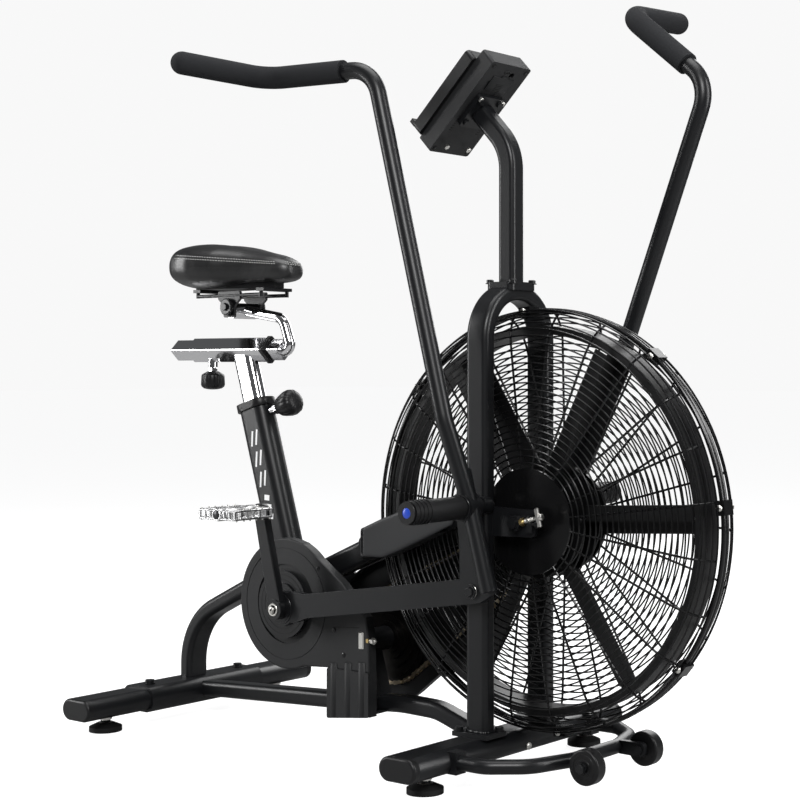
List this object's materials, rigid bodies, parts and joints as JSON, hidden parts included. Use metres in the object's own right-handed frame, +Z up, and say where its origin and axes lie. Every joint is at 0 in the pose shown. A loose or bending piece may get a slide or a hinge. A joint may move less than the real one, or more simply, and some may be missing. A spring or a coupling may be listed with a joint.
{
  "type": "air bike",
  "caption": "Upright fan-resistance exercise bike: caged fan wheel, two-stage chain drive, swinging hand levers linked to the cranks, sliding saddle and tilted console.",
  "frame": {"origin": "bottom centre of the bounding box, on the floor", "axes": "+X forward towards the fan, +Y to the rider's left, +Z up"},
  "size_m": [1.2812, 0.739, 1.3307],
  "materials": {
    "black_frame": "satin powder coat",
    "black_wire": "gloss powder coat",
    "cover_plastic": "fine grain",
    "grey_plastic": "fine grain",
    "black_plastic": "satin",
    "foot_rubber": "matt",
    "wheel_rubber": "satin",
    "zinc": "zinc plated",
    "chrome": "polished",
    "steel_dark": "black forged",
    "chain_steel": "oiled",
    "fan_black": "satin",
    "alloy": "cast",
    "foam": "foam",
    "peg_rubber": "ribbed",
    "vinyl": "stitched vinyl",
    "screen": "display window",
    "button": "moulded"
  },
  "bodies": {
    "frame": {"frame_spine": "black_frame", "rear_stabilizer": "black_frame", "front_stabilizer": "black_frame", "fork_arch": "black_frame", "mast": "black_frame", "transport_bar": "black_frame", "cage_grill_right": "black_wire", "cage_grill_left": "black_wire", "cage_rim": "black_wire", "cage_clips": "black_wire", "cage_hub_plates": "black_wire", "cover_right": "cover_plastic", "cover_left": "cover_plastic", "cover_boot": "cover_plastic", "chain_case": "cover_plastic", "console_housing": "cover_plastic", "yoke_shroud": "grey_plastic", "stabilizer_caps": "black_plastic", "seat_collar": "black_plastic", "console_bezel": "black_plastic", "frame_hardware": "zinc", "fan_axle": "zinc", "bearing_cups": "zinc", "chain_primary": "chain_steel", "chain_secondary": "chain_steel", "foot_pegs": "peg_rubber", "console_screen": "screen"},
    "crank": {"crank_spindle": "steel_dark", "crank_right": "steel_dark", "crank_left": "steel_dark"},
    "pedal_right_body": {"pedal_right": "alloy"},
    "pedal_left_body": {"pedal_left": "alloy"},
    "link_right_body": {"link_right": "black_frame"},
    "link_left_body": {"link_left": "black_frame"},
    "jack": {"jackshaft": "chain_steel"},
    "fan": {"fan_hub": "fan_black", "fan_blades": "fan_black", "fan_rim": "fan_black"},
    "lever_right_body": {"lever_right": "black_frame", "grip_right": "foam"},
    "lever_left_body": {"lever_left": "black_frame", "grip_left": "foam"},
    "seat_mast": {"seat_post": "chrome", "slide_sleeve": "chrome", "slide_collar": "black_plastic"},
    "seat_carriage": {"seat_slide": "chrome"},
    "saddle": {"saddle_clamp": "steel_dark", "saddle_base": "black_plastic", "saddle_pad": "vinyl"},
    "height_pin": {"height_knob": "black_plastic"},
    "slide_pin": {"slide_knob": "black_plastic"},
    "wheel_right_body": {"wheel_right": "wheel_rubber"},
    "wheel_left_body": {"wheel_left": "wheel_rubber"},
    "leveller_rear_right": {"foot_rear_right": "foot_rubber"},
    "leveller_rear_left": {"foot_rear_left": "foot_rubber"},
    "leveller_front_right": {"foot_front_right": "foot_rubber"},
    "leveller_front_left": {"foot_front_left": "foot_rubber"},
    "key_right": {"button_right": "button"},
    "key_left": {"button_left": "button"}
  },
  "joints": [
    {"name": "crank_spin", "type": "hinge", "parent": "frame", "child": "crank", "pos_m": [-0.27164, 0, 0.247], "axis": [0, 1, 0], "continuous": true},
    {"name": "jackshaft_spin", "type": "hinge", "parent": "frame", "child": "jack", "pos_m": [-0.12264, 0, 0.185], "axis": [0, 1, 0], "continuous": true},
    {"name": "fan_spin", "type": "hinge", "parent": "frame", "child": "fan", "pos_m": [0.28236, 0, 0.426], "axis": [0, 1, 0], "continuous": true},
    {"name": "right_link_turn", "type": "hinge", "parent": "crank", "child": "link_right_body", "pos_m": [-0.23164, -0.1065, 0.247], "axis": [0, 1, 0], "continuous": true},
    {"name": "left_link_turn", "type": "hinge", "parent": "crank", "child": "link_left_body", "pos_m": [-0.31164, 0.1065, 0.247], "axis": [0, 1, 0], "continuous": true},
    {"name": "right_pedal_spin", "type": "hinge", "parent": "crank", "child": "pedal_right_body", "pos_m": [-0.27164, -0.185, 0.422], "axis": [0, 1, 0], "continuous": true},
    {"name": "left_pedal_spin", "type": "hinge", "parent": "crank", "child": "pedal_left_body", "pos_m": [-0.27164, 0.185, 0.072], "axis": [0, 1, 0], "continuous": true},
    {"name": "right_lever_swing", "type": "hinge", "parent": "frame", "child": "lever_right_body", "pos_m": [0.22236, -0.136, 0.453], "axis": [0, 1, 0], "range_deg": [0, 36]},
    {"name": "left_lever_swing", "type": "hinge", "parent": "frame", "child": "lever_left_body", "pos_m": [0.22236, 0.136, 0.453], "axis": [0, 1, 0], "range_deg": [-36, 0]},
    {"name": "seat_height", "type": "slide", "parent": "frame", "child": "seat_mast", "axis": [-0.2924, 0, 0.9563], "range_m": [-0.05, 0.1]},
    {"name": "seat_fore_aft", "type": "slide", "parent": "seat_mast", "child": "seat_carriage", "axis": [1, 0, 0], "range_m": [-0.02, 0.06]},
    {"name": "saddle_tilt", "type": "hinge", "parent": "seat_carriage", "child": "saddle", "pos_m": [-0.45464, 0, 0.79], "axis": [0, 1, 0], "range_deg": [-8, 8]},
    {"name": "height_pin_pull", "type": "slide", "parent": "frame", "child": "height_pin", "axis": [0.9563, 0, 0.2924], "range_m": [0, 0.006]},
    {"name": "slide_pin_pull", "type": "slide", "parent": "seat_mast", "child": "slide_pin", "axis": [0, 0, -1], "range_m": [0, 0.006]},
    {"name": "right_wheel_spin", "type": "hinge", "parent": "frame", "child": "wheel_right_body", "pos_m": [0.42836, -0.083, 0.047], "axis": [0, 1, 0], "continuous": true},
    {"name": "left_wheel_spin", "type": "hinge", "parent": "frame", "child": "wheel_left_body", "pos_m": [0.42836, 0.083, 0.047], "axis": [0, 1, 0], "continuous": true},
    {"name": "rear_right_leveller_turn", "type": "hinge", "parent": "frame", "child": "leveller_rear_right", "pos_m": [-0.59264, -0.216, 0.01], "axis": [0, 0, 1], "range_deg": [-180, 180]},
    {"name": "rear_left_leveller_turn", "type": "hinge", "parent": "frame", "child": "leveller_rear_left", "pos_m": [-0.59264, 0.216, 0.01], "axis": [0, 0, 1], "range_deg": [-180, 180]},
    {"name": "front_right_leveller_turn", "type": "hinge", "parent": "frame", "child": "leveller_front_right", "pos_m": [0.20336, -0.216, 0.01], "axis": [0, 0, 1], "range_deg": [-180, 180]},
    {"name": "front_left_leveller_turn", "type": "hinge", "parent": "frame", "child": "leveller_front_left", "pos_m": [0.20336, 0.216, 0.01], "axis": [0, 0, 1], "range_deg": [-180, 180]},
    {"name": "right_key_press", "type": "slide", "parent": "frame", "child": "key_right", "axis": [0.6934, 0, -0.7206], "range_m": [0, 0.0015]},
    {"name": "left_key_press", "type": "slide", "parent": "frame", "child": "key_left", "axis": [0.6934, 0, -0.7206], "range_m": [0, 0.0015]}
  ],
  "couplings": [
    {"joint": "jackshaft_spin", "follows": "crank_spin", "ratio": 3},
    {"joint": "fan_spin", "follows": "crank_spin", "ratio": 7.875},
    {"joint": "right_link_turn", "follows": "crank_spin", "ratio": -1},
    {"joint": "left_link_turn", "follows": "crank_spin", "ratio": -1},
    {"joint": "left_lever_swing", "follows": "right_lever_swing", "ratio": -1}
  ]
}
